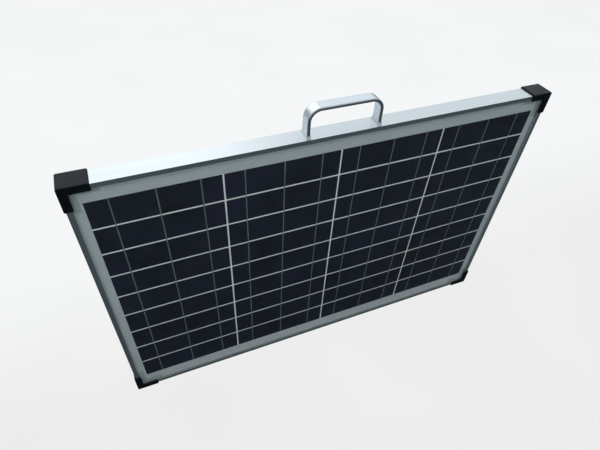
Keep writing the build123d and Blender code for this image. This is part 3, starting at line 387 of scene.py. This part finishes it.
NODE_MATERIALS = {
    "frame_x": ["frame_rail_top", "frame_rail_bottom"],
    "frame_z": ["frame_rail_left", "frame_rail_right"],
    "key": ["corner_keys"],
    "handle": ["carry_handle"],
    "stand_z": ["stand_leg_left", "stand_leg_right"],
    "stand_x": ["cross_bar"],
    "zinc": ["guard_screws", "handle_screws", "handle_washers", "junction_box_screws",
             "controller_screws", "rivets", "pivot_bolts", "cross_bar_screws"],
    "bracket": ["stand_brackets", "stand_clips"],
    "brass": ["junction_terminals"],
    "ribbon": ["tabbing_ribbons", "bus_ribbons"],
    "guard": ["corner_guard_top_left", "corner_guard_top_right",
              "corner_guard_bottom_left", "corner_guard_bottom_right"],
    "box": ["junction_box_base", "junction_box_lid", "junction_gland", "controller_inlet_gland",
            "controller_outlet_gland", "lead_clip"],
    "case": ["controller_case"],
    "cover": ["controller_cover"],
    "knob": ["clamp_knob_left", "clamp_knob_right"],
    "terminal": ["controller_terminals"],
    "nylon": ["pivot_washers"],
    "diode": ["bypass_diodes"],
    "seal": ["edge_seal"],
    "foam": ["adhesive_pads"],
    "gasket": ["junction_box_gasket"],
    "jacket": ["panel_lead"],
    "foot": ["leg_feet"],
    "button": ["controller_button_left", "controller_button_middle", "controller_button_right"],
    "silicon": ["cell_string_1", "cell_string_2", "cell_string_3", "cell_string_4"],
    "white": ["backsheet", "insulation_strips"],
    "window": ["controller_window"],
    "display": ["controller_display"],
    "circuit": ["controller_board"],
}


def paint(piece, key):
    piece.data.materials.clear()
    piece.data.materials.append(MATERIALS[key])


for key, names in NODE_MATERIALS.items():
    for name in names:
        paint(NODES[name], key)


# ---------------------------------------------------------------- softened edges on CAD pieces
RAIL_EDGE = 0.35 * MM
SHEET_EDGE = 0.3 * MM
SHARPEST_KEPT = 35.0           # degrees: an edge that turns less than this stays as it is


def soften(piece, width):
    bevel = piece.modifiers.new("soft_edge", "BEVEL")
    bevel.width = width
    bevel.segments = 2
    bevel.limit_method = "ANGLE"
    bevel.angle_limit = math.radians(SHARPEST_KEPT)
    bevel.harden_normals = True


for name in NODE_MATERIALS["frame_x"] + NODE_MATERIALS["frame_z"]:
    soften(NODES[name], RAIL_EDGE)
for name in NODE_MATERIALS["bracket"]:
    soften(NODES[name], SHEET_EDGE)


# ---------------------------------------------------------------- bonded glass
def mesh_piece(name, build):
    """A new object whose mesh is made by build(bm)."""
    bm = bmesh.new()
    build(bm)
    bmesh.ops.recalc_face_normals(bm, faces=bm.faces)
    mesh = bpy.data.meshes.new(name)
    bm.to_mesh(mesh)
    bm.free()
    piece = bpy.data.objects.new(name, mesh)
    bpy.context.scene.collection.objects.link(piece)
    return piece


def box_between(bm, low, high):
    size = high - low
    place = Matrix.Translation((low + high) / 2) @ Matrix.Diagonal((*size, 1.0))
    bmesh.ops.create_cube(bm, size=1.0, matrix=place)


def prism(bm, outline, y_low, y_high):
    """A closed solid from an outline of (x, z) points and two values of y."""
    front = [bm.verts.new((x, y_low, z)) for x, z in outline]
    back = [bm.verts.new((x, y_high, z)) for x, z in outline]
    bm.faces.new(front)
    bm.faces.new(back)
    for here in range(len(outline)):
        after = (here + 1) % len(outline)
        bm.faces.new((front[here], front[after], back[after], back[here]))


GLASS_INTO_SHEET = 0.1 * MM
GLASS_CHAMFER = 0.3 * MM


def bonded_glass():
    """The glass and the clear film bonded behind it, down to just inside the back sheet."""
    low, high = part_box("cover_glass")
    sheet_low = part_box("backsheet")[0]
    high.y = sheet_low.y + GLASS_INTO_SHEET

    def build(bm):
        box_between(bm, low, high)
        bmesh.ops.bevel(bm, geom=bm.edges[:], offset=GLASS_CHAMFER, segments=2, affect="EDGES")

    piece = mesh_piece("bonded_glass", build)
    piece.data.materials.append(MATERIALS["glass"])
    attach(piece, "panel")
    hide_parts("cover_glass", "front_encapsulant", "rear_encapsulant")


bonded_glass()


# ---------------------------------------------------------------- print on the controller's cover
PRINT_LIFT = 0.06 * MM         # how far the print stands off the cover's face, and reaches into it
PRINT_LINE = 0.7 * MM
BORDER_GAP = 2.4 * MM
SIGN_RADIUS = 2.1 * MM
SIGN_ABOVE = 10.0 * MM         # from a button's middle to its sign's
SIGNS = {"left": (3, 180.0), "middle": (28, 0.0), "right": (3, 0.0)}    # corners and turn of each sign


def border(bm, low, high, face):
    """Four strokes that frame the box from low to high, seen along Y."""
    out, line = BORDER_GAP + PRINT_LINE, PRINT_LINE

    def stroke(x_range, z_range):
        box_between(bm, Vector((x_range[0], face - PRINT_LIFT, z_range[0])),
                    Vector((x_range[1], face + PRINT_LIFT, z_range[1])))

    for edge in (low.z - out, high.z + out - line):
        stroke((low.x - out, high.x + out), (edge, edge + line))
    for edge in (low.x - out, high.x + out - line):
        stroke((edge, edge + line), (low.z - out + line, high.z + out - line))


def sign_outline(centre, corners, turn):
    """The (x, z) points of a regular outline above a button: an arrow from 3 corners, a dot from many."""
    outline = []
    for corner in range(corners):
        angle = math.radians(turn + 360.0 * corner / corners)
        outline.append((centre.x + SIGN_RADIUS * math.cos(angle),
                        centre.z + SIGN_ABOVE + SIGN_RADIUS * math.sin(angle)))
    return outline


def printed_marks():
    """A line round the display window, and an arrow, a dot and an arrow above the three buttons."""
    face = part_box("controller_cover")[1].y
    low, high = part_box("controller_window")

    def build(bm):
        border(bm, low, high, face)
        for name, (corners, turn) in SIGNS.items():
            button_low, button_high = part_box("controller_button_" + name)
            centre = (button_low + button_high) / 2
            prism(bm, sign_outline(centre, corners, turn), face - PRINT_LIFT, face + PRINT_LIFT)

    piece = mesh_piece("cover_print", build)
    piece.data.materials.append(MATERIALS["print"])
    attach(piece, "panel")


printed_marks()


# ---------------------------------------------------------------- floor, light and camera
FLOOR_REACH = 8.0                        # from the middle to each side
FLOOR_DROP = 0.5 * MM                    # how far the floor lies below the feet
FLOOR_TONES = ((0.84, 0.84, 0.84), (0.87, 0.87, 0.87))
FLOOR_GLOW = 0.88                        # how far the floor's own shading is flattened in the picture
GLOW_STRENGTH = 1.11
DARK_IN_GLOSS = (0.052, 0.068, 0.074)    # the floor in front, as polished surfaces see it
PALE_IN_GLOSS = (0.62, 0.68, 0.72)       # the floor behind, as polished surfaces see it
GLOSS_CHANGE = 0.35                      # how far behind the panel's middle the change ends


def pale_floor():
    n = Nodes("pale_floor")
    tone = n.noise(n.place(), scale=3.0, detail=2.0)
    ray = n.add("ShaderNodeLightPath")
    pale = n.blend(n.spread(tone), *FLOOR_TONES)
    depth = n.add("ShaderNodeSeparateXYZ", Vector=n.place()).outputs["Y"]
    in_gloss = n.blend(n.ramp(depth, 0.0, GLOSS_CHANGE), DARK_IN_GLOSS, PALE_IN_GLOSS)
    seen = n.blend(ray.outputs["Is Diffuse Ray"], in_gloss, pale)
    lit = n.add("ShaderNodeBsdfDiffuse", Color=seen)
    glow = n.add("ShaderNodeEmission", Color=pale, Strength=GLOW_STRENGTH)
    share = n.math("MULTIPLY", ray.outputs["Is Camera Ray"], FLOOR_GLOW)
    n.two_surfaces(share, lit.outputs["BSDF"], glow.outputs["Emission"])
    return n.material


def floor():
    def build(bm):
        bmesh.ops.create_grid(bm, x_segments=1, y_segments=1, size=FLOOR_REACH)

    piece = mesh_piece("floor", build)
    piece.data.materials.append(pale_floor())
    piece.location.z = -FLOOR_DROP


WHITE = (1.0, 1.0, 1.0)
SKY_COLOUR = (0.93, 0.97, 1.0, 1.0)
SKY_STRENGTH = 0.55
OVERHEAD = {"place": (0.0, 0.1, 2.6), "target": (0.0, 0.0, 0.2), "size": (3.4, 3.4)}


def lamp(name, place, target, size, power, colour=WHITE, gloss_only=False, diffuse_only=False):
    """A rectangular lamp that faces its target, for reflections only, matt surfaces only or both."""
    data = bpy.data.lights.new(name, "AREA")
    data.shape = "RECTANGLE"
    data.size, data.size_y = size
    data.energy = power
    data.color = colour
    lamp_object = bpy.data.objects.new(name, data)
    bpy.context.scene.collection.objects.link(lamp_object)
    lamp_object.location = place
    aim = Vector(target) - Vector(place)
    lamp_object.rotation_euler = aim.to_track_quat("-Z", "Y").to_euler()
    lamp_object.visible_diffuse = not gloss_only
    lamp_object.visible_glossy = not diffuse_only


def sky():
    world = bpy.data.worlds.new("studio")
    world.use_nodes = True
    background = world.node_tree.nodes["Background"]
    background.inputs["Color"].default_value = SKY_COLOUR
    background.inputs["Strength"].default_value = SKY_STRENGTH
    bpy.context.scene.world = world


def lamps():
    lamp("overhead", **OVERHEAD, power=62.0, diffuse_only=True)
    lamp("overhead_gloss", **OVERHEAD, power=34.0, gloss_only=True)
    lamp("back_strip", place=(0.45, 1.5, 1.5), target=(0.0, 0.0, 0.44), size=(3.5, 1.3), power=8.75,
         colour=(0.86, 0.95, 1.0), gloss_only=True)
    lamp("back_left", place=(-0.5, 1.5, 1.5), target=(-0.25, 0.0, 0.44), size=(1.8, 1.3), power=4.2,
         gloss_only=True)
    lamp("front_fill", place=(-0.4, -1.6, 1.4), target=(0.0, 0.0, 0.25), size=(1.6, 1.2), power=7.0,
         colour=(0.92, 1.0, 0.99), diffuse_only=True)


CAMERA_PLACE = Vector((-0.25559, -0.44109, 0.75939))
CAMERA_TARGET = Vector((-0.05565, -0.0125, 0.29638))
CAMERA_ROLL = 3.747            # degrees
CAMERA_LENS = 27.775           # millimetres
CAMERA_SENSOR = 36.0           # millimetres across
CAMERA_CLIP = 10.0 * MM


def camera():
    data = bpy.data.cameras.new("camera")
    data.lens = CAMERA_LENS
    data.sensor_width = CAMERA_SENSOR
    data.clip_start = CAMERA_CLIP
    piece = bpy.data.objects.new("camera", data)
    bpy.context.scene.collection.objects.link(piece)
    aim = (CAMERA_TARGET - CAMERA_PLACE).to_track_quat("-Z", "Y").to_matrix().to_4x4()
    roll = Matrix.Rotation(math.radians(CAMERA_ROLL), 4, "Z")
    piece.matrix_world = Matrix.Translation(CAMERA_PLACE) @ aim @ roll
    bpy.context.scene.camera = piece


floor()
sky()
lamps()
camera()
bpy.context.scene.view_settings.view_transform = "Standard"
